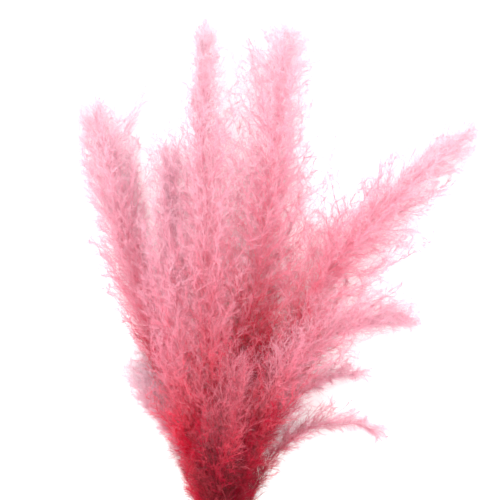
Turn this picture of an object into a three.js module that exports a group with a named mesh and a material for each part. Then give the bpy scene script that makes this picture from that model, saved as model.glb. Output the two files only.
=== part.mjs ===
// A bundle of ten dyed pampas grass stalks, laid down on a flat surface.
//
// Millimetres. +Z is up, +Y runs along the bundle from the cut stem ends to the plume tips,
// and +X is to the right when the bundle is seen from above with its plumes pointing away.
// The origin is at the middle of the bundle's bounding box, on the surface it lies on.
//
// Each stalk is a stem and a plume. The stem is a tapered rod. The plume is the soft body that
// its branches fill: it is pressed flat where it lies on the surface, and it gives way to the
// stalks next to it. A wound twine holds the stems together.

import * as THREE from "three";

// Stems
const stemReach = 205; // from the twine's middle to the longest cut end
const stemCutRadius = 2.6;
const stemTopRadius = 1.9; // where the plume begins
const stemGap = 0.6; // between stems inside the twine
const stemSplay = 1.35; // how much wider apart the stems are at their cut ends
const stemSides = 8;
const stemRings = 16;

// Twine
const twineY = -110; // its middle, measured from the neck of the bundle
const twineLift = 4; // its height above the surface
const twineDiameter = 1.8;
const twineTurns = 6;
const twineSteps = 48; // points round the winding
const stemStraight = 26; // how far the stems run straight on each side of the twine's middle

// Neck: where the plumes begin and the stalks start to fan out
const neckSpread = 2; // stalk spacing at the plumes' bases, in stem pitches
const neckHeight = 25; // height of the bundle's middle there

// Plumes
const plumeLengthScale = 1; // all plumes longer or shorter
const plumeWidthScale = 1; // all plumes fuller or thinner
const plumeFlatness = 0.8; // a plume's thickness over its width
const plumeBaseRadius = 3.6; // where the first branches leave the stem
const plumeTipRadius = 2.5;
const plumeFullness = 1; // 1 is an even spindle, and more is a sharper belly
const plumeSides = 16;
const plumeRings = 28;
const routePoints = 7; // points that a plume's centreline is drawn through

// Clearances
const stemToPlume = 0.4; // between a stem's top face and its plume
const twineToStem = 0.35;
const plumeGap = 6; // between neighbouring plumes, and between a plume and a passing stem
const neighbourStep = 5; // spacing of the points that stand for a neighbour's centreline

// Fineness of the sampling
const routeSlices = 12; // steps between two points of a plume's centreline
const stemSamples = 400; // points along a stalk that the twine is pulled round

// One entry per stalk. row and column are its seat in the twine, in stem pitches, with row 1 on top.
// baseY is where its plume begins. lean is the plume's heading in degrees from +Y, positive to the
// right, at its base and at its tip, and bend is how late it turns: 1 turns evenly, more turns late.
// midHeight and tipHeight are the centreline's heights above the surface. width is the half width
// at the widest place, which is belly of the way along. cut is how much shorter its stem is.
const stalks = [
  { name: "far_left", row: -1, column: -1, baseY: -25, length: 567, lean: [-17, -12], bend: 1.1,
    midHeight: 32, tipHeight: 26, width: 44, belly: 0.7, cut: 12 },
  { name: "tall_right", row: -1, column: 0, baseY: -30, length: 650, lean: [8, 5], bend: 1.5,
    midHeight: 38, tipHeight: 34, width: 56, belly: 0.68, cut: 0 },
  { name: "far_right", row: -1, column: 1, baseY: -35, length: 613, lean: [-6, 56], bend: 0.65,
    midHeight: 38, tipHeight: 30, width: 60, belly: 0.6, cut: 15 },
  { name: "low_left", row: 0, column: -1.5, baseY: -40, length: 253, lean: [4, -37], bend: 0.6,
    midHeight: 36, tipHeight: 18, width: 31, belly: 0.6, cut: 8 },
  { name: "mid_left", row: 0, column: -0.5, baseY: -35, length: 515, lean: [-11, -2], bend: 1.3,
    midHeight: 84, tipHeight: 46, width: 46, belly: 0.5, cut: 30 },
  { name: "mid_right", row: 0, column: 0.5, baseY: -30, length: 292, lean: [16, 112], bend: 2.2,
    midHeight: 62, tipHeight: 20, width: 24, belly: 0.5, cut: 5 },
  { name: "drooping", row: 0, column: 1.5, baseY: -45, length: 288, lean: [14, 146], bend: 1.8,
    midHeight: 34, tipHeight: 10, width: 16, belly: 0.5, cut: 26 },
  { name: "tall_left", row: 1, column: -1, baseY: -50, length: 672, lean: [-3, 2], bend: 1.4,
    midHeight: 92, tipHeight: 44, width: 40, belly: 0.48, cut: 10 },
  { name: "front", row: 1, column: 0, baseY: -60, length: 258, lean: [-5, 17], bend: 1.2,
    midHeight: 98, tipHeight: 112, width: 30, belly: 0.55, cut: 18 },
  { name: "low_right", row: 1, column: 1, baseY: -20, length: 404, lean: [10, 109], bend: 2,
    midHeight: 92, tipHeight: 30, width: 38, belly: 0.6, cut: 22 },
];

const up = new THREE.Vector3(0, 0, 1);
const radians = THREE.MathUtils.degToRad;
const stemPitch = 2 * stemCutRadius + stemGap;
const rowHeight = stemPitch * Math.sin(radians(60)); // the stems nest in each other's hollows
const twineHeight = twineLift + twineDiameter + twineToStem + stemCutRadius + rowHeight;
const cutHeight = rowHeight * stemSplay + stemCutRadius; // the bottom row's cut ends rest on the surface

// The points of a plume's centreline, from its base to its tip.
function plumeRoute(stalk) {
  const base = new THREE.Vector3(
    stalk.column * stemPitch * neckSpread,
    stalk.baseY,
    neckHeight + stalk.row * rowHeight * neckSpread,
  );
  const length = stalk.length * plumeLengthScale;
  const control = 2 * (stalk.midHeight - (base.z + stalk.tipHeight) / 4);
  const points = [base];
  const steps = routePoints * routeSlices;
  const step = length / steps;
  const at = base.clone();
  for (let i = 1; i <= steps; i++) {
    const share = i / steps;
    const turn = stalk.lean[0] + (stalk.lean[1] - stalk.lean[0]) * share ** stalk.bend;
    at.x += Math.sin(radians(turn)) * step;
    at.y += Math.cos(radians(turn)) * step;
    at.z = (1 - share) ** 2 * base.z + 2 * share * (1 - share) * control + share ** 2 * stalk.tipHeight;
    if (i % routeSlices === 0) points.push(at.clone());
  }
  return points;
}

// The whole stalk's centreline, with the share of it at which the plume begins.
function stalkLine(stalk) {
  const seat = (y, spread, middle) =>
    new THREE.Vector3(stalk.column * stemPitch * spread, y, middle + stalk.row * rowHeight * spread);
  const cutY = twineY - stemReach + stalk.cut;
  const stem = [
    seat(cutY, stemSplay, cutHeight),
    seat((cutY + twineY) / 2, (1 + stemSplay) / 2, (cutHeight + twineHeight) / 2),
    seat(twineY - stemStraight, 1, twineHeight),
    seat(twineY + stemStraight, 1, twineHeight),
  ];
  const points = [...stem, ...plumeRoute(stalk)];
  const curve = new THREE.CatmullRomCurve3(points, false, "centripetal");
  return { curve, base: stem.length / (points.length - 1) };
}

const lines = new Map(stalks.map((stalk) => [stalk, stalkLine(stalk)]));

// The directions across a centreline: to the right, and as near upwards as can be.
function across(curve, share) {
  const along = curve.getTangent(share).normalize();
  const right = new THREE.Vector3().crossVectors(along, up).normalize();
  return { right, above: new THREE.Vector3().crossVectors(right, along).normalize() };
}

// A closed body round a stretch of a centreline. reach says how far the surface lies from the
// centreline, from the share of the stretch, the point there and the direction.
function bodyAlong(curve, from, to, sides, rings, reach) {
  const shape = new THREE.CylinderGeometry(1, 1, 1, sides, rings);
  const place = shape.getAttribute("position");
  const corner = new THREE.Vector3();
  for (let i = 0; i < place.count; i++) {
    corner.fromBufferAttribute(place, i);
    const ring = Math.round((corner.y + 0.5) * rings) / rings;
    const side = Math.round((Math.atan2(corner.x, corner.z) / (2 * Math.PI)) * sides + sides) % sides;
    const angle = (side / sides) * 2 * Math.PI;
    const isMiddle = Math.hypot(corner.x, corner.z) < 0.5;
    const share = from + (to - from) * ring;
    const middle = curve.getPoint(share);
    const { right, above } = across(curve, share);
    const out = right.multiplyScalar(Math.sin(angle)).addScaledVector(above, Math.cos(angle));
    if (!isMiddle) middle.addScaledVector(out, reach(ring, middle.clone(), out));
    place.setXYZ(i, middle.x, middle.y, middle.z);
  }
  shape.deleteAttribute("normal");
  shape.deleteAttribute("uv");
  shape.computeVertexNormals();
  return shape;
}

// The tapered rod from a stalk's cut end to just short of its plume.
function stemShape(stalk) {
  const { curve, base } = lines.get(stalk);
  const short = stemToPlume / curve.getLength();
  const radius = (ring) => stemCutRadius + (stemTopRadius - stemCutRadius) * ring;
  return bodyAlong(curve, 0, base - short, stemSides, stemRings, radius);
}

// The other stalks' centrelines, as points close together.
function neighboursOf(stalk) {
  return stalks
    .filter((other) => other !== stalk)
    .flatMap((other) => {
      const { curve } = lines.get(other);
      return curve.getPoints(Math.round(curve.getLength() / neighbourStep));
    });
}

// The half width of a plume at a share of its length.
function plumeWidth(stalk, ring) {
  const { belly } = stalk;
  const rise = (ring / belly) ** (belly * plumeFullness);
  const fall = ((1 - ring) / (1 - belly)) ** ((1 - belly) * plumeFullness);
  const end = plumeBaseRadius + (plumeTipRadius - plumeBaseRadius) * ring;
  return Math.max(end, stalk.width * plumeWidthScale * rise * fall);
}

// The soft body of a plume: an oval spindle, cut off by the surface it lies on and halfway to
// every neighbour.
function plumeShape(stalk) {
  const { curve, base } = lines.get(stalk);
  const neighbours = neighboursOf(stalk);
  const toNeighbour = new THREE.Vector3();
  const reach = (ring, middle, out) => {
    const width = plumeWidth(stalk, ring);
    const upward = out.dot(up);
    const sideways = Math.sqrt(Math.max(0, 1 - upward * upward));
    let far = 1 / Math.hypot(sideways / width, upward / (width * plumeFlatness));
    if (upward < 0) far = Math.min(far, middle.z / -upward);
    for (const point of neighbours) {
      toNeighbour.subVectors(point, middle);
      const apart = toNeighbour.length();
      const towards = out.dot(toNeighbour) / apart;
      if (towards > 0) far = Math.min(far, (apart - plumeGap) / 2 / towards);
    }
    return far;
  };
  return bodyAlong(curve, base, 1, plumeSides, plumeRings, reach);
}

// The outline that is pulled tight round the stems, offset from them, as points in X and Z.
function roundStems(offset) {
  const half = (twineTurns * twineDiameter) / 2 + 1;
  const stems = [...lines.values()].flatMap(({ curve }) => {
    return curve.getPoints(stemSamples).filter((point) => Math.abs(point.y - twineY) < half);
  });
  const outline = [];
  for (let i = 0; i < twineSteps; i++) {
    const angle = (i / twineSteps) * 2 * Math.PI;
    const [x, z] = [Math.cos(angle), Math.sin(angle)];
    const support = (stem) => stem.x * x + stem.z * z;
    const touched = stems.reduce((best, stem) => (support(stem) > support(best) ? stem : best));
    const far = stemCutRadius + offset;
    outline.push(new THREE.Vector2(touched.x + x * far, touched.z + z * far));
  }
  return outline;
}

// The winding, as one band as wide as its turns.
function twineShape() {
  const width = twineTurns * twineDiameter;
  const section = new THREE.Shape(roundStems(twineToStem + twineDiameter));
  section.holes.push(new THREE.Path(roundStems(twineToStem)));
  const shape = new THREE.ExtrudeGeometry(section, { depth: width, bevelEnabled: false });
  shape.rotateX(Math.PI / 2); // the outline's second axis becomes +Z, and the depth runs along -Y
  shape.translate(0, twineY + width / 2, 0);
  return shape;
}

const plumePink = new THREE.MeshStandardMaterial({ color: 0xf08aa4, roughness: 0.9, metalness: 0 });
const stemStraw = new THREE.MeshStandardMaterial({ color: 0xcaa283, roughness: 0.6, metalness: 0 });
const twineJute = new THREE.MeshStandardMaterial({ color: 0xb89a6c, roughness: 0.9, metalness: 0 });

const bundle = new THREE.Group();

function add(name, shape, material) {
  const mesh = new THREE.Mesh(shape, material);
  mesh.name = name;
  bundle.add(mesh);
}

for (const stalk of stalks) {
  add(`stem_${stalk.name}`, stemShape(stalk), stemStraw);
  add(`plume_${stalk.name}`, plumeShape(stalk), plumePink);
}
add("twine", twineShape(), twineJute);

// The origin goes to the middle of the bounding box, at the height of the surface.
const size = new THREE.Box3().setFromObject(bundle);
bundle.position.set(-(size.min.x + size.max.x) / 2, -(size.min.y + size.max.y) / 2, -size.min.z);

export default bundle;
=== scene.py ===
import math
import bmesh
import bpy
import numpy as np
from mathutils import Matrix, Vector


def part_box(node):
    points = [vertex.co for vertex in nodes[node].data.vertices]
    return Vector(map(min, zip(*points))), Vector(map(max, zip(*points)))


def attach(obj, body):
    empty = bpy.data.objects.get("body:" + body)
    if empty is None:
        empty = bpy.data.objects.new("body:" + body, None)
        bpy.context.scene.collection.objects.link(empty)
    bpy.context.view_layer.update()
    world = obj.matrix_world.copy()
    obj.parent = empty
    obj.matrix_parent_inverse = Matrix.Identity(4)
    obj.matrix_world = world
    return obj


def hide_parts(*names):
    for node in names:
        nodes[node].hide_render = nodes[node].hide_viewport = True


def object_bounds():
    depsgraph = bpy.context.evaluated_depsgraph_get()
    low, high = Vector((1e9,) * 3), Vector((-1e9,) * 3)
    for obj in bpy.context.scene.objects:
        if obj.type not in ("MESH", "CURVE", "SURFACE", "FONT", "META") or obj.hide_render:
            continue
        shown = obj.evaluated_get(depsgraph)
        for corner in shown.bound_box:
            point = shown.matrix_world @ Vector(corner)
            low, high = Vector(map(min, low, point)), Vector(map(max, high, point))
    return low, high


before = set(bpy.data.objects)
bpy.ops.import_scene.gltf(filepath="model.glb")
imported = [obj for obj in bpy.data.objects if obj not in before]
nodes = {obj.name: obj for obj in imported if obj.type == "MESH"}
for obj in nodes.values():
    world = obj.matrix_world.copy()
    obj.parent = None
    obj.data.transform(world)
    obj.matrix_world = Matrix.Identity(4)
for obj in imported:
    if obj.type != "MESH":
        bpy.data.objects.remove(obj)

# A bundle of dyed pampas grass lies on a pale floor and is seen from above.
# Metres, +Y towards the plume tips, +Z up.

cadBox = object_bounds()
floorPress = 0.007  # hair lower than this is pressed flat against the floor
hairGive = 0.011  # stray hair may stand this far outside the bundle's box
stemEndNear = 0.007  # the first ring of a stem lies within this of its lowest corner
plumeEndNear = 0.006  # the first ring of a plume lies within this of its stem's top
reachShare = 85  # how many of a ring's corners, in per cent, stand within its reach


def srgb(code):
    # a hex colour as linear red, green, blue and alpha
    shares = [int(code[i:i + 2], 16) / 255 for i in (1, 3, 5)]
    linear = [c / 12.92 if c <= 0.04045 else ((c + 0.055) / 1.055) ** 2.4 for c in shares]
    return (*linear, 1.0)


def addNode(tree, kind, inputs=(), **settings):
    # inputs is a list in socket order or a dictionary by socket name; a node stands for its first output
    node = tree.nodes.new(kind)
    for key, value in settings.items():
        setattr(node, key, value)
    live = [socket for socket in node.inputs if socket.enabled]
    pairs = inputs.items() if isinstance(inputs, dict) else enumerate(inputs)
    for key, value in pairs:
        socket = live[key] if isinstance(key, int) else next(s for s in live if s.name == key)
        if isinstance(value, bpy.types.Node):
            value = next(s for s in value.outputs if s.enabled)
        if isinstance(value, bpy.types.NodeSocket):
            tree.links.new(value, socket)
        elif value is not None:
            socket.default_value = value
    return node


def newMaterial(name):
    material = bpy.data.materials.new(name)
    material.use_nodes = True
    material.node_tree.nodes.clear()
    return material


# plume hair: dyed, dried grass hair; the core, deep and dusty core colours are partly painted shade
hairFinish = {
    "core": "#c00a2a", "deep": "#f85a7c", "middle": "#ffc5d5", "light": "#ffe0ea", "tip": "#fff5f9",
    "dustyShadedCore": "#950c24", "dustyTip": "#eaa3b3", "dullAndShadedFrom": 0.4, "ripples": 37.0,
    "rippleSaturation": (0.88, 1.12), "roughness": (0.85, 0.6), "specular": 0.1, "sheen": 0.05,
    "translucency": 0.64, "stain": 1.28,
}


def plumeHairMaterial(finish):
    # Dyed dry grass hair: matte, a little silky, and light comes through it, so plumes glow inside
    material = newMaterial("dyedGrassHair")
    tree = material.node_tree
    shade = addNode(tree, "ShaderNodeAttribute", attribute_name="shade").outputs["Fac"]
    tint = addNode(tree, "ShaderNodeAttribute", attribute_name="tint").outputs["Fac"]
    fresh = addNode(tree, "ShaderNodeValToRGB", [shade])
    # the dark core and deep stops are partly the dye and partly painted shade deep inside the plumes and
    # low down
    stops = [(0.0, "core"), (0.25, "deep"), (0.5, "middle"), (0.75, "light"), (1.0, "tip")]
    dustyShaded = addNode(tree, "ShaderNodeValToRGB", [shade])
    for ramp, marks in ((fresh, stops), (dustyShaded, [(0.1, "dustyShadedCore"), (0.9, "dustyTip")])):
        elements = ramp.color_ramp.elements
        for place, name in marks[1:-1]:
            elements.new(place)
        for element, (place, name) in zip(elements, marks):
            element.position = place
            element.color = srgb(finish[name])
    # the lower hair is duller and darker, partly older dusty hair and partly painted shade towards the
    # base, and each branch took the dye a little differently
    dullAndShaded = addNode(tree, "ShaderNodeMapRange", [tint, finish["dullAndShadedFrom"], 1.0, 0.0, 1.0])
    colour = addNode(tree, "ShaderNodeMix", [dullAndShaded, fresh.outputs["Color"], dustyShaded.outputs["Color"]],
                     data_type="RGBA")
    ripple = addNode(tree, "ShaderNodeMath", [tint, finish["ripples"]], operation="MULTIPLY")
    ripple = addNode(tree, "ShaderNodeMath", [ripple], operation="SINE")
    fuller = addNode(tree, "ShaderNodeMapRange", [ripple, -1.0, 1.0, *finish["rippleSaturation"]])
    colour = addNode(tree, "ShaderNodeHueSaturation", {"Saturation": fuller, "Color": colour})
    rough = addNode(tree, "ShaderNodeMapRange", [shade, 0.0, 1.0, *finish["roughness"]])
    skin = addNode(tree, "ShaderNodeBsdfPrincipled", {
        "Base Color": colour, "Roughness": rough, "IOR": 1.5, "Specular IOR Level": finish["specular"],
        "Sheen Weight": finish["sheen"], "Sheen Roughness": 0.5,
    })
    # light that has come through the dyed hair is more strongly coloured than light off its surface
    stained = addNode(tree, "ShaderNodeHueSaturation", {"Saturation": finish["stain"], "Color": colour})
    through = addNode(tree, "ShaderNodeBsdfTranslucent", {"Color": stained})
    mix = addNode(tree, "ShaderNodeMixShader", [finish["translucency"], skin, through])
    addNode(tree, "ShaderNodeOutputMaterial", {"Surface": mix})
    return material


def nodeCorners(name):
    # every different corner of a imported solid, as rows of x, y and z, and its triangles by corner number
    mesh = nodes[name].data
    flat = np.empty(len(mesh.vertices) * 3)
    mesh.vertices.foreach_get("co", flat)
    corners, numbers = np.unique(flat.reshape(-1, 3).round(6), axis=0, return_inverse=True)
    triangles = [[int(numbers.ravel()[v]) for v in face.vertices] for face in mesh.polygons]
    return corners, triangles


def ringsOf(name, start, near):
    # the rings of corners of a packed rod or plume, one after another from the end that is at start
    corners, triangles = nodeCorners(name)
    joined = [set() for _ in corners]
    for triangle in triangles:
        for corner in triangle:
            joined[corner].update(triangle)
    ring = {int(i) for i in np.flatnonzero(np.linalg.norm(corners - start, axis=1) < near)}
    seen = set()
    rings = []
    while ring:
        seen |= ring
        rings.append(corners[sorted(ring)])
        ring = set().union(*(joined[i] for i in ring)) - seen
    return rings


def middleAndReach(rings):
    # each ring's middle and how far its corners stand from it
    middles = np.array([ring.mean(0) for ring in rings])
    reach = [np.percentile(np.linalg.norm(ring - ring.mean(0), axis=1), reachShare) for ring in rings]
    return middles, np.array(reach)


def stemRings(name):
    # a stem's rings, from its cut end up
    corners = nodeCorners("stem_" + name)[0]
    rings = ringsOf("stem_" + name, corners[np.argmin(corners[:, 1])], stemEndNear)
    return [ring for ring in rings if len(ring) > 2]


def plumeLine(name, step):
    # the middle and the half width of a packed plume, in even steps from its stem to its tip
    top = stemRings(name)[-1].mean(0)
    middles, reach = middleAndReach(ringsOf("plume_" + name, top, plumeEndNear))
    middles[1:-1] = (middles[:-2] + 2 * middles[1:-1] + middles[2:]) / 4
    knots = np.r_[0, np.cumsum(np.linalg.norm(np.diff(middles, axis=0), axis=1))]
    steps = np.linspace(0, knots[-1], int(knots[-1] / step))
    line = np.column_stack([np.interp(steps, knots, middles[:, k]) for k in range(3)])
    return line, np.interp(steps, knots, reach)


def branchAims(line, widths, want):
    # where each branch goes: how far ahead of its root it ends, how wide the plume is there, how much
    # it bows outwards on the way, and how long its branchlets are
    lengths = np.r_[0, np.cumsum(np.linalg.norm(np.diff(line, axis=0), axis=1))]
    ahead = np.minimum(want["reach"], np.maximum(lengths[-1] - lengths, want["leastReach"]))
    rise = lengths / lengths[-1]
    full = want["fullness"] * np.interp(rise, [0, want["lowEnd"]], [want["lowShare"], 1])
    landing = np.interp(lengths + want["landingShare"] * ahead, lengths, widths) * full
    least = want["leastWidth"] * np.interp(rise, want["leastRise"], [want["leastLow"], 1])
    slim = np.interp(lengths, [0, want["baseLength"]], [want["basePinch"], 1])  # where it leaves the stem
    point = np.interp(rise, [want["pointStart"], 1], [1, want["point"]])  # where it narrows to its tip
    return {"reach": ahead, "landing": np.maximum(landing, least) * slim * point,
            "arch": want["arch"] * slim, "fine": want["finest"] + (1 - want["finest"]) * point}


plumeDefaults = {
    "reach": 0.1, "leastReach": 0.035, "landingShare": 0.6, "lowShare": 1.0, "lowEnd": 0.8,
    "leastWidth": 0.02, "leastRise": (0.35, 0.7), "leastLow": 0.3, "pointStart": 0.65, "point": 0.45,
    "finest": 0.35, "drift": (0.0, 0.0), "driftPower": 1.5, "lineStep": 0.012, "arch": 1.2,
    "baseLength": 0.14, "basePinch": 0.24, "flare": 0.12, "unevenness": 0.65, "trim": 2,
    "branchletSpacing": 0.0073, "branchletLength": 0.025, "branchletSpread": 1.0, "frizz": 0.008,
    "curl": 0.008, "spikeletSpacing": 0.002, "spikeletLength": 0.0112, "spikeletWidth": 0.00044,
    "spikeletStray": 0.75, "flatness": 0.85, "shadeLow": 0.0, "shadeGain": 1.0, "dustAndShade": 0.5,
    "dustAndShadeReach": 0.7, "withRachis": True,
}
# the large plumes have soft down round the rachis as well, inside the long hair
down = {"reach": 0.075, "fullness": 0.75, "leastWidth": 0.014, "unevenness": 0.5, "withRachis": False}
# shadeLow and shadeGain make a plume's hair paler or darker all over: partly its dye, partly painted shade
# on lower plumes such as front
plumes = {
    "far_left": {"seed": 11, "branches": 265, "reach": 0.12, "fullness": 1.3, "lowShare": 0.42,
                 "leastWidth": 0.063, "arch": 0.8, "pointStart": 0.8, "point": 1.0, "flare": 0.18,
                 "unevenness": 0.82, "drift": (-0.016, 0.006), "shadeLow": 0.0, "shadeGain": 1.1,
                 "down": 140},
    "tall_right": {"seed": 12, "branches": 246, "reach": 0.11, "fullness": 1.75, "leastWidth": 0.068,
                   "trim": 1, "pointStart": 0.88, "point": 0.85, "drift": (0.004, 0.006),
                   "shadeLow": -0.07, "shadeGain": 1.18, "down": 165},
    "far_right": {"seed": 13, "branches": 275, "reach": 0.11, "fullness": 1.8, "leastWidth": 0.058,
                  "trim": 1, "pointStart": 0.72, "point": 0.2, "unevenness": 0.8, "drift": (0.0, 0.023),
                  "shadeLow": -0.1, "shadeGain": 1.22, "down": 150},
    "low_left": {"seed": 14, "branches": 190, "fullness": 0.85, "leastWidth": 0.012, "shadeLow": 0.15,
                 "dustAndShade": 0.7, "dustAndShadeReach": 1.2},
    "mid_left": {"seed": 15, "branches": 260, "fullness": 1.1, "pointStart": 0.45, "point": 0.15,
                 "trim": 5, "shadeLow": 0.1, "shadeGain": 0.9, "dustAndShade": 0.4, "down": 170},
    "mid_right": {"seed": 16, "branches": 100, "reach": 0.07, "fullness": 0.5, "leastWidth": 0.005,
                  "point": 0.3, "drift": (0.0, 0.02), "unevenness": 0.85, "dustAndShade": 0.8, "dustAndShadeReach": 1.2},
    "drooping": {"seed": 17, "branches": 105, "reach": 0.06, "fullness": 0.9, "leastWidth": 0.006,
                 "drift": (-0.004, 0.016), "unevenness": 0.8, "branchletLength": 0.018, "shadeLow": 0.02,
                 "dustAndShade": 0.6, "dustAndShadeReach": 2.5},
    "tall_left": {"seed": 18, "branches": 285, "fullness": 1.7, "leastWidth": 0.034, "trim": 1,
                  "pointStart": 0.7, "point": 0.08, "shadeLow": 0.08, "down": 190},
    "front": {"seed": 19, "branches": 160, "fullness": 1.0, "shadeGain": 0.58, "dustAndShade": 1.5,
              "dustAndShadeReach": 1.2},
    "low_right": {"seed": 20, "branches": 240, "fullness": 1.2, "pointStart": 0.5, "point": 0.3,
                  "unevenness": 0.75, "shadeLow": 0.02, "dustAndShade": 0.7, "dustAndShadeReach": 1.0},
}
# what all the hair shares; a pair is the least and the most of a random share, or its base and tip
growth = {
    "seedStep": 40, "goldenAngle": 2.39996, "wobble": 0.4, "fill": (0.01, 1.2), "fillPower": 0.65,
    "longest": 1.1, "branchPoints": 12, "waveScale": 16.0, "strandApart": (3.0, 5.0, 7.0), "noiseGain": 4.0,
    "leastSpread": 0.2, "looser": (0.8, 1.5), "shorter": (1.0, 0.65), "branchletUneven": (0.45, 1.15),
    "branchletPoints": 3, "curlScale": 75.0, "spikeletUneven": (0.6, 1.3),
    "rachisRadius": (0.0011, 0.0002), "branchRadius": (0.00035, 0.00012),
    "branchletRadius": (0.00015, 0.00008),
}
# how the colour pales from the core to the tips and upwards, partly the dye and partly painted shade
# deep in the plume and towards its base, and where the hair has dulled with dust and painted shade
fadeAndPaintedShade = {
    "rise": 0.78, "along": 0.38, "out": 0.28, "spike": 0.1, "litRise": (0.08, 0.58), "litLow": 0.33,
    "patchy": (0.2, 0.8), "strandTint": 0.38, "sideTint": 0.04,
}


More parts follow.
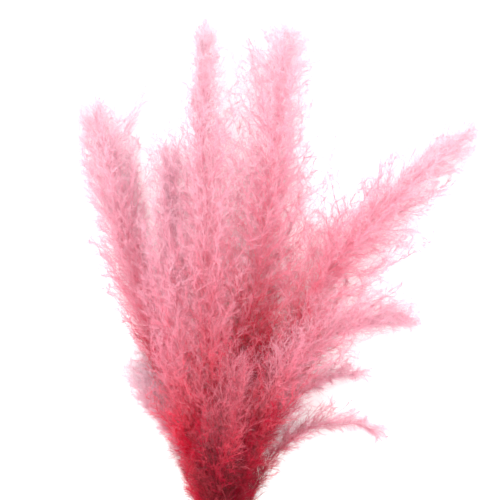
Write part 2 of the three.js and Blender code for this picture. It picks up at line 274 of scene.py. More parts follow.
def plumeTree():
    tree = bpy.data.node_groups.new("pampasPlume", "GeometryNodeTree")
    face = tree.interface
    face.new_socket("Geometry", in_out="OUTPUT", socket_type="NodeSocketGeometry")
    face.new_socket("Rachis", in_out="INPUT", socket_type="NodeSocketGeometry")
    for name in ("Branches", "Seed"):
        face.new_socket(name, in_out="INPUT", socket_type="NodeSocketInt")
    for name in ("Flare", "Branchlet Spacing", "Branchlet Length", "Branchlet Spread", "Frizz", "Curl",
                 "Spikelet Spacing", "Spikelet Length", "Spikelet Width", "Spikelet Stray", "Flatness",
                 "Unevenness", "Shade Low", "Shade Gain", "Dust And Shade", "Dusting And Shade Reach", "Floor Press",
                 "Give"):
        face.new_socket(name, in_out="INPUT", socket_type="NodeSocketFloat")
    for name in ("Room Low", "Room High"):
        face.new_socket(name, in_out="INPUT", socket_type="NodeSocketVector")
    face.new_socket("With Rachis", in_out="INPUT", socket_type="NodeSocketBool")
    face.new_socket("Material", in_out="INPUT", socket_type="NodeSocketMaterial")
    given = addNode(tree, "NodeGroupInput").outputs
    # every random number below has a seed of its own
    seeds = [addNode(tree, "ShaderNodeMath", [given["Seed"], growth["seedStep"] * k], operation="ADD")
             for k in range(9)]

    # the rachis: rise is 0 at the plume's base and 1 at its tip
    rachis = addNode(tree, "GeometryNodeMeshToCurve", [given["Rachis"]])
    rise = addNode(tree, "GeometryNodeSplineParameter")
    rachis = addNode(tree, "GeometryNodeStoreNamedAttribute",
                     {"Geometry": rachis, "Name": "rise", "Value": rise.outputs["Factor"]})
    riseField = addNode(tree, "GeometryNodeInputNamedAttribute", {"Name": "rise"})
    landingField = addNode(tree, "GeometryNodeInputNamedAttribute", {"Name": "landing"})
    reachField = addNode(tree, "GeometryNodeInputNamedAttribute", {"Name": "reach"})
    archField = addNode(tree, "GeometryNodeInputNamedAttribute", {"Name": "arch"})
    fineField = addNode(tree, "GeometryNodeInputNamedAttribute", {"Name": "fine"})

    # branch roots along it, each turned by the golden angle
    roots = addNode(tree, "GeometryNodeCurveToPoints", {"Curve": rachis, "Count": given["Branches"]})
    index = addNode(tree, "GeometryNodeInputIndex")
    wobble = addNode(tree, "FunctionNodeRandomValue",
                     {"Min": -growth["wobble"], "Max": growth["wobble"], "Seed": seeds[0]})
    golden = addNode(tree, "ShaderNodeMath", [index, growth["goldenAngle"], wobble],
                     operation="MULTIPLY_ADD")
    cosTurn = addNode(tree, "ShaderNodeMath", [golden], operation="COSINE")
    sinTurn = addNode(tree, "ShaderNodeMath", [golden], operation="SINE")
    tangent, normal = roots.outputs["Tangent"], roots.outputs["Normal"]
    binormal = addNode(tree, "ShaderNodeVectorMath", [tangent, normal], operation="CROSS_PRODUCT")
    one = addNode(tree, "ShaderNodeVectorMath", {"Vector": normal, "Scale": cosTurn}, operation="SCALE")
    two = addNode(tree, "ShaderNodeVectorMath", {"Vector": binormal, "Scale": sinTurn}, operation="SCALE")
    radial = addNode(tree, "ShaderNodeVectorMath", [one, two], operation="ADD")
    flat = addNode(tree, "ShaderNodeCombineXYZ", [1.0, 1.0, given["Flatness"]])
    radial = addNode(tree, "ShaderNodeVectorMath", [radial, flat], operation="MULTIPLY")

    # each branch heads for its landing place, somewhere between the middle and the outline
    fill = addNode(tree, "FunctionNodeRandomValue",
                   {"Min": growth["fill"][0], "Max": growth["fill"][1], "Seed": seeds[1]})
    fill = addNode(tree, "ShaderNodeMath", [fill, growth["fillPower"]], operation="POWER")
    outward = addNode(tree, "ShaderNodeMath", [fill, landingField], operation="MULTIPLY")
    one = addNode(tree, "ShaderNodeVectorMath", {"Vector": tangent, "Scale": reachField}, operation="SCALE")
    two = addNode(tree, "ShaderNodeVectorMath", {"Vector": radial, "Scale": outward}, operation="SCALE")
    heading = addNode(tree, "ShaderNodeVectorMath", [one, two], operation="ADD")
    grow = addNode(tree, "ShaderNodeVectorMath", [heading], operation="LENGTH").outputs["Value"]
    least = addNode(tree, "ShaderNodeMath", [growth["longest"], given["Unevenness"]], operation="SUBTRACT")
    uneven = addNode(tree, "FunctionNodeRandomValue",
                     {"Min": least, "Max": growth["longest"], "Seed": seeds[2]})
    grow = addNode(tree, "ShaderNodeMath", [grow, uneven], operation="MULTIPLY")
    strand = addNode(tree, "FunctionNodeRandomValue", {"Min": 0.0, "Max": 1.0, "Seed": seeds[3]})

    kept = roots.outputs["Points"]
    for name, value, kind in (("radial", radial, "FLOAT_VECTOR"), ("grow", grow, "FLOAT"),
                              ("outward", outward, "FLOAT"), ("strand", strand, "FLOAT")):
        kept = addNode(tree, "GeometryNodeStoreNamedAttribute",
                       {"Geometry": kept, "Name": name, "Value": value}, data_type=kind)
    branchLine = addNode(tree, "GeometryNodeCurvePrimitiveLine", {"End": (0, 0, 1)})
    branchLine = addNode(tree, "GeometryNodeResampleCurve",
                         {"Curve": branchLine, "Count": growth["branchPoints"]})
    turned = addNode(tree, "FunctionNodeAlignRotationToVector", {"Vector": heading}, axis="Z")
    growField = addNode(tree, "GeometryNodeInputNamedAttribute", {"Name": "grow"})
    outwardField = addNode(tree, "GeometryNodeInputNamedAttribute", {"Name": "outward"})
    strandField = addNode(tree, "GeometryNodeInputNamedAttribute", {"Name": "strand"})
    radialField = addNode(tree, "GeometryNodeInputNamedAttribute", {"Name": "radial"},
                          data_type="FLOAT_VECTOR")
    branches = addNode(tree, "GeometryNodeInstanceOnPoints",
                       {"Points": kept, "Instance": branchLine, "Rotation": turned, "Scale": growField})
    branches = addNode(tree, "GeometryNodeRealizeInstances", [branches])
    factor = addNode(tree, "GeometryNodeSplineParameter")
    branches = addNode(tree, "GeometryNodeStoreNamedAttribute",
                       {"Geometry": branches, "Name": "along", "Value": factor.outputs["Factor"]})
    alongField = addNode(tree, "GeometryNodeInputNamedAttribute", {"Name": "along"})

    # branches leave the rachis in an arch, nod outwards at their ends and wave
    square = addNode(tree, "ShaderNodeMath", [alongField, 2.0], operation="POWER")
    nod = addNode(tree, "ShaderNodeMath", [square, growField], operation="MULTIPLY")
    nod = addNode(tree, "ShaderNodeMath", [nod, given["Flare"]], operation="MULTIPLY")
    arch = addNode(tree, "ShaderNodeMath", [alongField, square], operation="SUBTRACT")
    arch = addNode(tree, "ShaderNodeMath", [arch, outwardField], operation="MULTIPLY")
    nod = addNode(tree, "ShaderNodeMath", [arch, archField, nod], operation="MULTIPLY_ADD")
    nodding = addNode(tree, "ShaderNodeVectorMath", {"Vector": radialField, "Scale": nod},
                      operation="SCALE")
    place = addNode(tree, "GeometryNodeInputPosition")
    apart = addNode(tree, "ShaderNodeVectorMath", {"Vector": growth["strandApart"], "Scale": strandField},
                    operation="SCALE")
    apart = addNode(tree, "ShaderNodeVectorMath", [place, apart], operation="ADD")
    wave = addNode(tree, "ShaderNodeTexNoise",
                   {"Vector": apart, "Scale": growth["waveScale"], "Detail": 1.0})
    wave = addNode(tree, "ShaderNodeVectorMath", [wave.outputs["Color"], (0.5, 0.5, 0.5)],
                   operation="SUBTRACT")
    waving = addNode(tree, "ShaderNodeMath", [alongField, given["Frizz"]], operation="MULTIPLY")
    waving = addNode(tree, "ShaderNodeMath", [waving, growth["noiseGain"]], operation="MULTIPLY")
    wave = addNode(tree, "ShaderNodeVectorMath", {"Vector": wave, "Scale": waving}, operation="SCALE")
    shift = addNode(tree, "ShaderNodeVectorMath", [nodding, wave], operation="ADD")
    branches = addNode(tree, "GeometryNodeSetPosition", {"Geometry": branches, "Offset": shift})

    # branchlets all along every branch
    buds = addNode(tree, "GeometryNodeCurveToPoints",
                   {"Curve": branches, "Length": given["Branchlet Spacing"]}, mode="LENGTH")
    tangent, normal = buds.outputs["Tangent"], buds.outputs["Normal"]
    binormal = addNode(tree, "ShaderNodeVectorMath", [tangent, normal], operation="CROSS_PRODUCT")
    around = addNode(tree, "FunctionNodeRandomValue", {"Min": 0.0, "Max": 2 * math.pi, "Seed": seeds[4]})
    cosTurn = addNode(tree, "ShaderNodeMath", [around], operation="COSINE")
    sinTurn = addNode(tree, "ShaderNodeMath", [around], operation="SINE")
    one = addNode(tree, "ShaderNodeVectorMath", {"Vector": normal, "Scale": cosTurn}, operation="SCALE")
    two = addNode(tree, "ShaderNodeVectorMath", {"Vector": binormal, "Scale": sinTurn}, operation="SCALE")
    side = addNode(tree, "ShaderNodeVectorMath", [one, two], operation="ADD")
    spread = addNode(tree, "FunctionNodeRandomValue",
                     {"Min": growth["leastSpread"], "Max": given["Branchlet Spread"], "Seed": seeds[5]})
    looser = addNode(tree, "ShaderNodeMapRange", [alongField, 0.0, 1.0, *growth["looser"]])
    spread = addNode(tree, "ShaderNodeMath", [spread, looser], operation="MULTIPLY")
    side = addNode(tree, "ShaderNodeVectorMath", {"Vector": side, "Scale": spread}, operation="SCALE")
    heading = addNode(tree, "ShaderNodeVectorMath", [tangent, side], operation="ADD")
    turned = addNode(tree, "FunctionNodeAlignRotationToVector", {"Vector": heading}, axis="Z")
    shorter = addNode(tree, "ShaderNodeMapRange", [alongField, 0.0, 1.0, *growth["shorter"]])
    low, high = growth["branchletUneven"]
    uneven = addNode(tree, "FunctionNodeRandomValue", {"Min": low, "Max": high, "Seed": seeds[6]})
    size = addNode(tree, "ShaderNodeMath", [shorter, uneven], operation="MULTIPLY")
    size = addNode(tree, "ShaderNodeMath", [size, given["Branchlet Length"]], operation="MULTIPLY")
    size = addNode(tree, "ShaderNodeMath", [size, fineField], operation="MULTIPLY")
    twigLine = addNode(tree, "GeometryNodeCurvePrimitiveLine", {"End": (0, 0, 1)})
    twigLine = addNode(tree, "GeometryNodeResampleCurve",
                       {"Curve": twigLine, "Count": growth["branchletPoints"]})
    twigs = addNode(tree, "GeometryNodeInstanceOnPoints",
                    {"Points": buds, "Instance": twigLine, "Rotation": turned, "Scale": size})
    twigs = addNode(tree, "GeometryNodeRealizeInstances", [twigs])
    twigs = addNode(tree, "GeometryNodeStoreNamedAttribute",
                    {"Geometry": twigs, "Name": "out", "Value": factor.outputs["Factor"]})
    outField = addNode(tree, "GeometryNodeInputNamedAttribute", {"Name": "out"})
    wave = addNode(tree, "ShaderNodeTexNoise",
                   {"Vector": place, "Scale": growth["curlScale"], "Detail": 1.0})
    wave = addNode(tree, "ShaderNodeVectorMath", [wave.outputs["Color"], (0.5, 0.5, 0.5)],
                   operation="SUBTRACT")
    waving = addNode(tree, "ShaderNodeMath", [outField, given["Curl"]], operation="MULTIPLY")
    waving = addNode(tree, "ShaderNodeMath", [waving, growth["noiseGain"]], operation="MULTIPLY")
    wave = addNode(tree, "ShaderNodeVectorMath", {"Vector": wave, "Scale": waving}, operation="SCALE")
    twigs = addNode(tree, "GeometryNodeSetPosition", {"Geometry": twigs, "Offset": wave})

    # spikelets along every branchlet: slim three-sided points
    seats = addNode(tree, "GeometryNodeCurveToPoints",
                    {"Curve": twigs, "Length": given["Spikelet Spacing"]}, mode="LENGTH")
    stray = addNode(tree, "FunctionNodeRandomValue",
                    {"Min": (-1.0, -1.0, -1.0), "Max": (1.0, 1.0, 1.0), "Seed": seeds[7]},
                    data_type="FLOAT_VECTOR")
    stray = addNode(tree, "ShaderNodeVectorMath", {"Vector": stray, "Scale": given["Spikelet Stray"]},
                    operation="SCALE")
    heading = addNode(tree, "ShaderNodeVectorMath", [seats.outputs["Tangent"], stray], operation="ADD")
    turned = addNode(tree, "FunctionNodeAlignRotationToVector", {"Vector": heading}, axis="Z")
    low, high = growth["spikeletUneven"]
    uneven = addNode(tree, "FunctionNodeRandomValue", {"Min": low, "Max": high, "Seed": seeds[8]})
    size = addNode(tree, "ShaderNodeMath", [uneven, given["Spikelet Length"]], operation="MULTIPLY")
    size = addNode(tree, "ShaderNodeCombineXYZ", [given["Spikelet Width"], given["Spikelet Width"], size])
    spike = addNode(tree, "GeometryNodeMeshCone",
                    {"Vertices": 3, "Radius Top": 0.0, "Radius Bottom": 0.5, "Depth": 1.0})
    spot = addNode(tree, "ShaderNodeSeparateXYZ", [place])
    spike = addNode(tree, "GeometryNodeStoreNamedAttribute",
                    {"Geometry": spike, "Name": "spike", "Value": spot.outputs["Z"]})
    spike = addNode(tree, "GeometryNodeStoreNamedAttribute",
                    {"Geometry": spike, "Name": "side", "Value": spot.outputs["X"]})
    spikes = addNode(tree, "GeometryNodeInstanceOnPoints",
                     {"Points": seats, "Instance": spike, "Rotation": turned, "Scale": size})
    spikes = addNode(tree, "GeometryNodeRealizeInstances", [spikes])

    # the rachis, branches and branchlets are thin tapered rods
    ring = addNode(tree, "GeometryNodeCurvePrimitiveCircle", {"Resolution": 3, "Radius": 1.0})
    ringSpot = addNode(tree, "ShaderNodeSeparateXYZ", [place])
    ringSide = addNode(tree, "ShaderNodeMath", [ringSpot.outputs["X"], 0.5], operation="MULTIPLY")
    ring = addNode(tree, "GeometryNodeStoreNamedAttribute",
                   {"Geometry": ring, "Name": "side", "Value": ringSide})
    rods = []
    for curve, field, name in ((rachis, riseField, "rachisRadius"), (branches, alongField, "branchRadius"),
                               (twigs, outField, "branchletRadius")):
        taper = addNode(tree, "ShaderNodeMapRange", [field, 0.0, 1.0, *growth[name]])
        rods.append(addNode(tree, "GeometryNodeCurveToMesh",
                            {"Curve": curve, "Profile Curve": ring, "Scale": taper, "Fill Caps": True}))
    rods[0] = addNode(tree, "GeometryNodeSwitch", {"Switch": given["With Rachis"], "True": rods[0]},
                      input_type="GEOMETRY")
    joined = addNode(tree, "GeometryNodeJoinGeometry")
    for part in (spikes, *rods):
        tree.links.new(part.outputs[0], joined.inputs[0])

    # shade runs from 0 at the core to 1 at the tips, paler with every step outwards or upwards, partly the
    # dye and partly painted shade deep in the plume and towards its base; tint is each branch's own, raised
    # low down
    spikeField = addNode(tree, "GeometryNodeInputNamedAttribute", {"Name": "spike"})
    sideField = addNode(tree, "GeometryNodeInputNamedAttribute", {"Name": "side"})
    steps = {"rise": riseField, "along": alongField, "out": outField, "spike": spikeField}
    left = 1.0
    for name, field in steps.items():
        dim = addNode(tree, "ShaderNodeMath", [field, -fadeAndPaintedShade[name], 1.0], operation="MULTIPLY_ADD")
        left = addNode(tree, "ShaderNodeMath", [dim, left], operation="MULTIPLY")
    paler = addNode(tree, "ShaderNodeMath", [1.0, left], operation="SUBTRACT")
    # painted shade: hair low in the plume stays darker, as less light reaches it there
    lit = addNode(tree, "ShaderNodeMapRange", [riseField, *fadeAndPaintedShade["litRise"], fadeAndPaintedShade["litLow"], 1.0],
                  interpolation_type="SMOOTHSTEP")
    paler = addNode(tree, "ShaderNodeMath", [paler, lit], operation="MULTIPLY")
    total = addNode(tree, "ShaderNodeMath", [paler, given["Shade Gain"], given["Shade Low"]],
                    operation="MULTIPLY_ADD")
    shade = addNode(tree, "ShaderNodeClamp", [total, 0.0, 1.0])
    # painted shade and dust: hair near the base of a plume mixes towards the dull, darker ramp
    dustAndShade = addNode(tree, "ShaderNodeMapRange", [riseField, 0.0, given["Dusting And Shade Reach"], 1.0, 0.0])
    dustAndShade = addNode(tree, "ShaderNodeMath", [dustAndShade, given["Dust And Shade"]], operation="MULTIPLY")
    patchy = addNode(tree, "ShaderNodeMapRange", [strandField, 0.0, 1.0, *fadeAndPaintedShade["patchy"]])
    dustAndShade = addNode(tree, "ShaderNodeMath", [dustAndShade, patchy], operation="MULTIPLY")
    tint = addNode(tree, "ShaderNodeMath", [strandField, fadeAndPaintedShade["strandTint"], dustAndShade],
                   operation="MULTIPLY_ADD")
    tint = addNode(tree, "ShaderNodeMath", [sideField, fadeAndPaintedShade["sideTint"], tint],
                   operation="MULTIPLY_ADD")
    tint = addNode(tree, "ShaderNodeClamp", [tint, 0.0, 1.0])
    done = joined
    for name, value in (("shade", shade), ("tint", tint)):
        done = addNode(tree, "GeometryNodeStoreNamedAttribute",
                       {"Geometry": done, "Name": name, "Value": value})
    shadeField = addNode(tree, "GeometryNodeInputNamedAttribute", {"Name": "shade"})
    tintField = addNode(tree, "GeometryNodeInputNamedAttribute", {"Name": "tint"})
    corner = addNode(tree, "ShaderNodeCombineXYZ", [shadeField, tintField, 0.0])
    done = addNode(tree, "GeometryNodeStoreNamedAttribute",
                   {"Geometry": done, "Name": "OFBake", "Value": corner},
                   data_type="FLOAT2", domain="CORNER")

    # hair that would stray outside the bundle's room bends back along its edge
    inside = addNode(tree, "ShaderNodeVectorMath", [place, given["Room High"]], operation="MINIMUM")
    inside = addNode(tree, "ShaderNodeVectorMath", [inside, given["Room Low"]], operation="MAXIMUM")
    beyond = addNode(tree, "ShaderNodeVectorMath", [place, inside], operation="SUBTRACT")
    bare = addNode(tree, "ShaderNodeVectorMath", [beyond], operation="ABSOLUTE")
    ones = addNode(tree, "ShaderNodeCombineXYZ", [given["Give"], given["Give"], given["Give"]])
    bare = addNode(tree, "ShaderNodeVectorMath", [bare, ones], operation="ADD")
    beyond = addNode(tree, "ShaderNodeVectorMath", {"Vector": beyond, "Scale": given["Give"]},
                     operation="SCALE")
    beyond = addNode(tree, "ShaderNodeVectorMath", [beyond, bare], operation="DIVIDE")
    kept = addNode(tree, "ShaderNodeVectorMath", [inside, beyond], operation="ADD")
    done = addNode(tree, "GeometryNodeSetPosition", {"Geometry": done, "Position": kept})

    # what would reach below the floor is pressed on to it
    spot = addNode(tree, "ShaderNodeSeparateXYZ", [place])
    height = addNode(tree, "ShaderNodeMath", [spot.outputs["Z"], given["Floor Press"]],
                     operation="DIVIDE")
    eased = addNode(tree, "ShaderNodeMath", [height, 1.0], operation="SUBTRACT")
    eased = addNode(tree, "ShaderNodeMath", [eased], operation="EXPONENT")
    eased = addNode(tree, "ShaderNodeMath", [eased, given["Floor Press"]], operation="MULTIPLY")
    low = addNode(tree, "FunctionNodeCompare", [height, 1.0], operation="LESS_THAN")
    pressed = addNode(tree, "ShaderNodeCombineXYZ", [spot.outputs["X"], spot.outputs["Y"], eased])
    done = addNode(tree, "GeometryNodeSetPosition",
                   {"Geometry": done, "Selection": low, "Position": pressed})
    done = addNode(tree, "GeometryNodeSetShadeSmooth", {"Geometry": done})
    done = addNode(tree, "GeometryNodeRealizeInstances", [done])
    done = addNode(tree, "GeometryNodeSetMaterial", {"Geometry": done, "Material": given["Material"]})
    addNode(tree, "NodeGroupOutput", [done])
    return tree


def madeOf(name, source, tree, values):
    # runs a tree on a source object and keeps the result as a plain mesh
    modifier = source.modifiers.new("shape", "NODES")
    modifier.node_group = tree
    items = tree.interface.items_tree
    sockets = {item.name: item.identifier for item in items if item.in_out == "INPUT"}
    for key, value in values.items():
        modifier[sockets[key]] = value
    shaped = source.evaluated_get(bpy.context.evaluated_depsgraph_get())
    mesh = bpy.data.meshes.new_from_object(shaped)
    mesh.name = name
    bpy.data.objects.remove(source)
    piece = bpy.data.objects.new(name, mesh)
    bpy.context.scene.collection.objects.link(piece)
    return piece


def wireObject(name, points, **attributes):
    # an open line of points, with a value for each point
    mesh = bpy.data.meshes.new(name)
    mesh.from_pydata([tuple(p) for p in points], [(i, i + 1) for i in range(len(points) - 1)], [])
    for key, values in attributes.items():
        layer = mesh.attributes.new(key, "FLOAT", "POINT")
        layer.data.foreach_set("value", np.asarray(values, dtype=np.float32))
    wire = bpy.data.objects.new(name, mesh)
    bpy.context.scene.collection.objects.link(wire)
    return wire


def makePlume(name, pieceName, want):
    line, widths = plumeLine(name, want["lineStep"])
    kept = len(line) - want["trim"]
    aims = {key: values[:kept] for key, values in branchAims(line, widths, want).items()}
    rise = np.linspace(0, 1, len(line))[:, None]
    line = line + rise ** want["driftPower"] * (*want["drift"], 0.0)
    wire = wireObject("rachis_" + name, line[:kept], **aims)
    piece = madeOf(pieceName, wire, hairTree, {
        "Branches": want["branches"], "Seed": want["seed"], "Flare": want["flare"],
        "Branchlet Spacing": want["branchletSpacing"], "Branchlet Length": want["branchletLength"],
        "Branchlet Spread": want["branchletSpread"], "Frizz": want["frizz"], "Curl": want["curl"],
        "Spikelet Spacing": want["spikeletSpacing"], "Spikelet Length": want["spikeletLength"],
        "Spikelet Width": want["spikeletWidth"], "Spikelet Stray": want["spikeletStray"],
        "Flatness": want["flatness"], "Unevenness": want["unevenness"],
        "Shade Low": want["shadeLow"], "Shade Gain": want["shadeGain"], "Dust And Shade": want["dustAndShade"],
        "Dusting And Shade Reach": want["dustAndShadeReach"], "Floor Press": floorPress, "Give": hairGive,
        "Room Low": (cadBox[0].x, cadBox[0].y, -1.0),  # the floor press looks after the lower side
        "Room High": tuple(cadBox[1]), "With Rachis": want["withRachis"], "Material": hairMaterial,
    })
    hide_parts("plume_" + name)
    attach(piece, "root")
    print(pieceName, "triangles", sum(len(face.vertices) - 2 for face in piece.data.polygons))


hairMaterial = plumeHairMaterial(hairFinish)
hairTree = plumeTree()
for name, own in plumes.items():
    want = {**plumeDefaults, **own}
    makePlume(name, "plume_hair_" + name, want)
    if "down" in own:
        inner = {"branches": own["down"], "seed": own["seed"] + 20}
        makePlume(name, "plume_down_" + name, {**want, **down, **inner})

# stems: dried reed culms, dyed at the top only
culm = {
    "step": 0.0025, "sides": 16, "firstJoint": (0.03, 0.07), "jointSpacing": (0.09, 0.13),
    "bareTop": 0.03, "jointSwell": 0.00035, "jointLength": 0.0022, "sheathThickness": 0.00022,
    "sheathLength": (0.035, 0.07), "sheathEdge": 0.0002, "cutBevel": 0.00025, "grainReach": 40,
    "seed": 31,
}
culmFinish = {
    "straw": "#b5955f", "shadow": "#8a693d", "joint": "#5e432a", "sheath": "#c0a877", "pith": "#d2bf94",
    "flush": "#b8485c", "flushStart": 0.17, "flushEnd": 0.27, "flushShare": 0.85, "flushGain": 1.8,
    "radius": 0.0028, "ribWidth": 0.0004, "blotchWidth": 0.00175, "stretch": 6.0,
    "shadowShare": 0.75, "sheathShare": 0.8, "jointShare": 0.85, "roughness": (0.42, 0.62),
    "ribDepth": 0.0002, "coat": 0.12, "coatRoughness": 0.35,
}


def culmMaterial(finish):
    # Dried reed culm: smooth straw with a waxy skin, fine ribs along it and a dull joint now and then;
    # dye has run down from the plume
    material = newMaterial("driedReedCulm")
    tree = material.node_tree
    fields = {name: addNode(tree, "ShaderNodeAttribute", attribute_name=name).outputs["Fac"]
              for name in ("along", "around", "scar", "sheath", "grain")}
    # the ribs follow the skin round on a circle that is one culm radius wide, drawn out along the stem
    turn = addNode(tree, "ShaderNodeMath", [fields["around"], 2 * math.pi], operation="MULTIPLY")
    cosTurn = addNode(tree, "ShaderNodeMath", [turn], operation="COSINE")
    sinTurn = addNode(tree, "ShaderNodeMath", [turn], operation="SINE")
    height = addNode(tree, "ShaderNodeMath", [fields["along"], finish["stretch"], fields["grain"]],
                     operation="MULTIPLY_ADD")
    spot = addNode(tree, "ShaderNodeCombineXYZ", [cosTurn, sinTurn, height])
    ribScale = finish["radius"] / finish["ribWidth"]
    streak = addNode(tree, "ShaderNodeTexNoise",
                     {"Vector": spot, "Scale": ribScale, "Detail": 3.0, "Roughness": 0.6})
    blotchScale = finish["radius"] / finish["blotchWidth"]
    blotch = addNode(tree, "ShaderNodeTexNoise", {"Vector": spot, "Scale": blotchScale, "Detail": 2.0})
    shadow = addNode(tree, "ShaderNodeMapRange", [streak, 0.35, 0.7, 0.0, finish["shadowShare"]])
    sheath = addNode(tree, "ShaderNodeMath", [fields["sheath"], finish["sheathShare"]],
                     operation="MULTIPLY")
    joint = addNode(tree, "ShaderNodeMath", [fields["scar"], finish["jointShare"]], operation="MULTIPLY")
    # the dye reaches down the top of the stem in blotches
    flush = addNode(tree, "ShaderNodeMapRange", [fields["along"], finish["flushStart"],
                                                 finish["flushEnd"], 0.0, finish["flushShare"]])
    flush = addNode(tree, "ShaderNodeMath", [flush, blotch.outputs[0]], operation="MULTIPLY")
    flush = addNode(tree, "ShaderNodeMath", [flush, finish["flushGain"]], operation="MULTIPLY",
                    use_clamp=True)
    pith = addNode(tree, "ShaderNodeMath", [fields["along"], 0.00001], operation="LESS_THAN")  # cut end
    layers = {"shadow": shadow, "sheath": sheath, "joint": joint, "flush": flush, "pith": pith}
    colour = srgb(finish["straw"])
    for name, factor in layers.items():
        colour = addNode(tree, "ShaderNodeMix", [factor, colour, srgb(finish[name])], data_type="RGBA")
    rough = addNode(tree, "ShaderNodeMapRange", [streak, 0.3, 0.7, *finish["roughness"]])
    bump = addNode(tree, "ShaderNodeBump",
                   {"Strength": 0.35, "Distance": finish["ribDepth"], "Height": streak})
    skin = addNode(tree, "ShaderNodeBsdfPrincipled", {
        "Base Color": colour, "Roughness": rough, "IOR": 1.5, "Normal": bump,
        "Coat Weight": finish["coat"], "Coat Roughness": finish["coatRoughness"],
    })
    addNode(tree, "ShaderNodeOutputMaterial", {"Surface": skin})
    return material


def culmLine(name, want, dice):
    # the same stem in short steps, with its joints and the sheath above each of them
    middles, radii = middleAndReach(stemRings(name))
    knots = np.r_[0, np.cumsum(np.linalg.norm(np.diff(middles, axis=0), axis=1))]
    steps = np.arange(0, knots[-1], want["step"])
    bevel = [0, want["cutBevel"], 3 * want["cutBevel"]]
    joint = dice.uniform(*want["firstJoint"])
    joints = []
    while joint < knots[-1] - want["bareTop"]:
        joints.append((joint, dice.uniform(*want["sheathLength"])))
        joint += dice.uniform(*want["jointSpacing"])
    extra = [spot + k * want["jointLength"] / 4 for spot, _ in joints for k in range(-4, 5)]
    extra += [spot + length + k * want["sheathEdge"] for spot, length in joints for k in (0, 1)]
    along = np.unique(np.r_[bevel, steps[2:], extra, knots[-1]].round(6))
    points = np.column_stack([np.interp(along, knots, middles[:, k]) for k in range(3)])
    radius = np.interp(along, knots, radii) - want["sheathThickness"]
    scar = np.zeros(len(along))
    sheath = np.zeros(len(along))
    for spot, length in joints:
        ring = np.exp(-((along - spot) / (want["jointLength"] / 2)) ** 2)
        wrapped = (along > spot) & (along <= spot + length)
        radius += want["jointSwell"] * ring + want["sheathThickness"] * wrapped
        scar = np.maximum(scar, ring)
        sheath = np.maximum(sheath, wrapped)
    radius[0] -= want["cutBevel"]
    return points, {"radius": radius, "along": along, "scar": scar, "sheath": sheath}


def rodTree(name):
    # a closed rod along a line whose points hold its radius
    tree = bpy.data.node_groups.new(name, "GeometryNodeTree")
    face = tree.interface
    face.new_socket("Geometry", in_out="OUTPUT", socket_type="NodeSocketGeometry")
    face.new_socket("Line", in_out="INPUT", socket_type="NodeSocketGeometry")
    face.new_socket("Sides", in_out="INPUT", socket_type="NodeSocketInt")
    face.new_socket("Grain", in_out="INPUT", socket_type="NodeSocketFloat")
    face.new_socket("Material", in_out="INPUT", socket_type="NodeSocketMaterial")
    given = addNode(tree, "NodeGroupInput").outputs
    line = addNode(tree, "GeometryNodeMeshToCurve", [given["Line"]])
    ring = addNode(tree, "GeometryNodeCurvePrimitiveCircle", {"Resolution": given["Sides"], "Radius": 1.0})
    factor = addNode(tree, "GeometryNodeSplineParameter")
    ring = addNode(tree, "GeometryNodeStoreNamedAttribute",
                   {"Geometry": ring, "Name": "around", "Value": factor.outputs["Factor"]})
    thick = addNode(tree, "GeometryNodeInputNamedAttribute", {"Name": "radius"})
    rod = addNode(tree, "GeometryNodeCurveToMesh",
                  {"Curve": line, "Profile Curve": ring, "Scale": thick, "Fill Caps": True})
    rod = addNode(tree, "GeometryNodeStoreNamedAttribute",
                  {"Geometry": rod, "Name": "grain", "Value": given["Grain"]})
    rod = addNode(tree, "GeometryNodeSetShadeSmooth", {"Geometry": rod})
    rod = addNode(tree, "GeometryNodeRealizeInstances", [rod])
    rod = addNode(tree, "GeometryNodeSetMaterial", {"Geometry": rod, "Material": given["Material"]})
    addNode(tree, "NodeGroupOutput", [rod])
    return tree


rods = rodTree("closedRod")
reed = culmMaterial(culmFinish)
dice = np.random.default_rng(culm["seed"])
for name in plumes:
    points, marks = culmLine(name, culm, dice)
    wire = wireObject("line_" + name, points, **marks)
    grain = float(dice.uniform(0, culm["grainReach"]))
    piece = madeOf("culm_" + name, wire, rods, {"Sides": culm["sides"], "Grain": grain, "Material": reed})
    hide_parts("stem_" + name)
    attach(piece, "root")
print("stems", len(plumes))

# twine: two-ply jute, wound round the stems and tied on top
twine = {
    "plyRadius": 0.00052, "strandRadius": 0.0009, "lay": 0.0058, "step": 0.0006, "sides": 8, "turns": 6,
    "lapPoints": 180, "smoothing": 3, "endSlack": 0.0001, "knotWidth": 0.0015, "knotLength": 0.0013,
    "knotHeight": 0.00013, "knotEnd": 2.12, "knotEase": 2.2, "knotPoints": 90,
}
twineFinish = {
    "fibre": "#b8955f", "dark": "#7c5c34", "light": "#d9bf8f", "fibreWidth": 0.0003, "patchScale": 220.0,
    "darkShare": 0.8, "lightShare": 0.7, "fibreDepth": 0.0003, "roughness": 0.93,
}


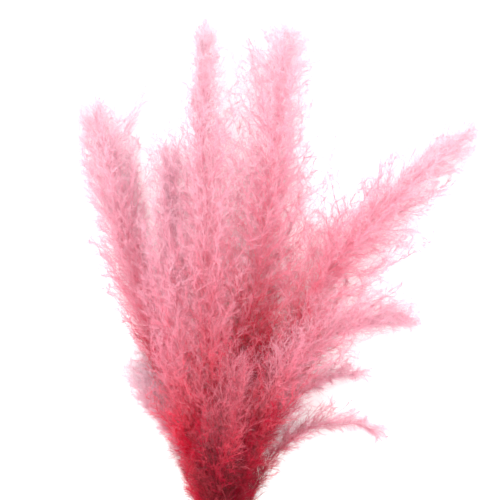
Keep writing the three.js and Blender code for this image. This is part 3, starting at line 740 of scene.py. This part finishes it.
def twineMaterial(finish):
    # Two-ply jute twine: dry, hairy bast fibre with no shine, darker in the twist
    material = newMaterial("juteTwine")
    tree = material.node_tree
    spot = addNode(tree, "ShaderNodeTexCoord").outputs["Object"]
    fibres = addNode(tree, "ShaderNodeTexNoise",
                     {"Vector": spot, "Scale": 0.5 / finish["fibreWidth"], "Detail": 4.0, "Roughness": 0.7})
    patches = addNode(tree, "ShaderNodeTexNoise",
                      {"Vector": spot, "Scale": finish["patchScale"], "Detail": 1.0})
    dark = addNode(tree, "ShaderNodeMapRange", [fibres, 0.35, 0.65, finish["darkShare"], 0.0])
    colour = addNode(tree, "ShaderNodeMix", [dark, srgb(finish["fibre"]), srgb(finish["dark"])],
                     data_type="RGBA")
    light = addNode(tree, "ShaderNodeMapRange", [patches, 0.5, 0.75, 0.0, finish["lightShare"]])
    colour = addNode(tree, "ShaderNodeMix", [light, colour, srgb(finish["light"])], data_type="RGBA")
    bump = addNode(tree, "ShaderNodeBump",
                   {"Strength": 0.8, "Distance": finish["fibreDepth"], "Height": fibres})
    skin = addNode(tree, "ShaderNodeBsdfPrincipled", {
        "Base Color": colour, "Roughness": finish["roughness"], "Normal": bump,
        "Specular IOR Level": 0.15, "Sheen Weight": 0.2,
    })
    addNode(tree, "ShaderNodeOutputMaterial", {"Surface": skin})
    return material


def windingPath(want):
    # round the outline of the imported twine, one strand width along the bundle with every turn
    corners = nodeCorners("twine")[0]
    low, high = corners[:, 1].min(), corners[:, 1].max()
    flat = corners[corners[:, 1] < low + want["endSlack"]][:, [0, 2]]
    angles = np.linspace(0, 2 * math.pi, want["lapPoints"] + 1)[:-1]
    facing = np.column_stack([np.cos(angles), np.sin(angles)])
    reach = (flat @ facing.T).max(0) - want["strandRadius"]
    slope = (np.roll(reach, -1) - np.roll(reach, 1)) / (2 * (angles[1] - angles[0]))
    across = np.column_stack([-facing[:, 1], facing[:, 0]])
    ring = reach[:, None] * facing + slope[:, None] * across
    top = int(np.argmax(ring[:, 1]))
    ring = np.roll(ring, -top, axis=0)
    for i in range(want["smoothing"]):
        ring = (np.roll(ring, 1, axis=0) + 2 * ring + np.roll(ring, -1, axis=0)) / 4
    laps = np.tile(ring, (want["turns"], 1))
    along = np.linspace(low + want["strandRadius"], high - want["strandRadius"], len(laps))
    return np.column_stack([laps[:, 0], along, laps[:, 1]])


def knotPath(want, seat):
    # an open overhand knot with two short tails, lying on the winding
    t = np.linspace(-want["knotEnd"], want["knotEnd"], want["knotPoints"])
    x = (t ** 3 - 3 * t) * want["knotWidth"]
    y = (t ** 4 - 4 * t ** 2 + 2) * want["knotLength"]
    z = (t ** 5 - 10 * t) * want["knotHeight"] * np.exp(-(t / want["knotEase"]) ** 8)
    return np.column_stack([x, y, z - z.min() + want["strandRadius"]]) + seat


def pliesAlong(path, want):
    # two plies twisted round a path
    lengths = np.r_[0, np.cumsum(np.linalg.norm(np.diff(path, axis=0), axis=1))]
    steps = np.arange(0, lengths[-1], want["step"])
    points = np.column_stack([np.interp(steps, lengths, path[:, k]) for k in range(3)])
    heading = np.gradient(points, axis=0)
    heading /= np.linalg.norm(heading, axis=1)[:, None]
    side = np.cross(heading, (0.0, 1.0, 0.02))
    side /= np.maximum(np.linalg.norm(side, axis=1), 1e-6)[:, None]
    other = np.cross(heading, side)
    offset = want["strandRadius"] - want["plyRadius"]
    for half in (0, math.pi):
        turn = (2 * math.pi * steps / want["lay"] + half)[:, None]
        yield points + offset * (np.cos(turn) * side + np.sin(turn) * other)


jute = twineMaterial(twineFinish)
wound = windingPath(twine)
seat = wound[np.argmax(wound[:, 2] - 2 * np.abs(wound[:, 1] - wound[:, 1].mean()))]
seat = seat + np.array([0, 0, twine["strandRadius"]])
twineShape = bmesh.new()
for path in (wound, knotPath(twine, seat)):
    for ply in pliesAlong(path, twine):
        wire = wireObject("ply", ply, radius=np.full(len(ply), twine["plyRadius"]))
        piece = madeOf("ply", wire, rods, {"Sides": twine["sides"], "Grain": 0.0, "Material": jute})
        twineShape.from_mesh(piece.data)
        bpy.data.objects.remove(piece)
strands = bpy.data.meshes.new("twine_wound")
twineShape.to_mesh(strands)
twineShape.free()
strands.materials.append(jute)
strands.shade_smooth()
piece = bpy.data.objects.new("twine_wound", strands)
bpy.context.scene.collection.objects.link(piece)
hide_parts("twine")
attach(piece, "root")
print("twine triangles", sum(len(face.vertices) - 2 for face in strands.polygons))

# floor, light and camera
studio = {
    "floorColour": "#f6f5f4", "floorRoughness": 0.9, "reach": 6.0, "surround": 1.0,
    "lamps": {  # place, size and watts
        "key": ((-0.9, 0.9, 2.2), 1.6, 80),
        "fill": ((1.3, 0.5, 2.0), 1.8, 48),
    },
    "lampAim": (0, 0.1, 0), "viewWidth": 0.65, "cameraHeight": 2.6, "sensor": 36,
    "rightOfTwine": 0.035, "belowTips": 0.29,
}


def makeStudio(want):
    bpy.ops.mesh.primitive_plane_add(size=want["reach"])
    floor = bpy.context.object
    floor.name = "floor"
    material = newMaterial("whitePaper")
    tree = material.node_tree
    skin = addNode(tree, "ShaderNodeBsdfPrincipled",
                   {"Base Color": srgb(want["floorColour"]), "Roughness": want["floorRoughness"]})
    addNode(tree, "ShaderNodeOutputMaterial", {"Surface": skin})
    floor.data.materials.append(material)
    world = bpy.data.worlds.new("studio")
    bpy.context.scene.world = world
    world.use_nodes = True
    background = world.node_tree.nodes["Background"]
    background.inputs["Color"].default_value = (1, 1, 1, 1)
    background.inputs["Strength"].default_value = want["surround"]
    for name, (spot, size, power) in want["lamps"].items():
        light = bpy.data.lights.new(name, "AREA")
        light.size = size
        light.energy = power
        lamp = bpy.data.objects.new(name, light)
        lamp.location = spot
        aim = Vector(want["lampAim"]) - Vector(spot)
        lamp.rotation_euler = aim.to_track_quat("-Z", "Y").to_euler()
        bpy.context.scene.collection.objects.link(lamp)
    camera = bpy.data.objects.new("camera", bpy.data.cameras.new("camera"))
    # the camera looks straight down, and the stems run out of the lower edge of its view
    camera.data.sensor_width = want["sensor"]
    camera.data.lens = want["sensor"] * want["cameraHeight"] / want["viewWidth"]
    twineLow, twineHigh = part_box("twine")
    across = (twineLow.x + twineHigh.x) / 2 + want["rightOfTwine"]
    camera.location = (across, cadBox[1].y - want["belowTips"], want["cameraHeight"])
    bpy.context.scene.collection.objects.link(camera)
    bpy.context.scene.camera = camera
    bpy.context.scene.view_settings.view_transform = "Standard"
    # light that wanders inside the plumes keeps them glowing
    cycles = bpy.context.scene.cycles
    cycles.max_bounces = 24
    cycles.diffuse_bounces = 16
    cycles.transmission_bounces = 16


makeStudio(studio)
print("cad box", [tuple(round(v, 3) for v in c) for c in cadBox])
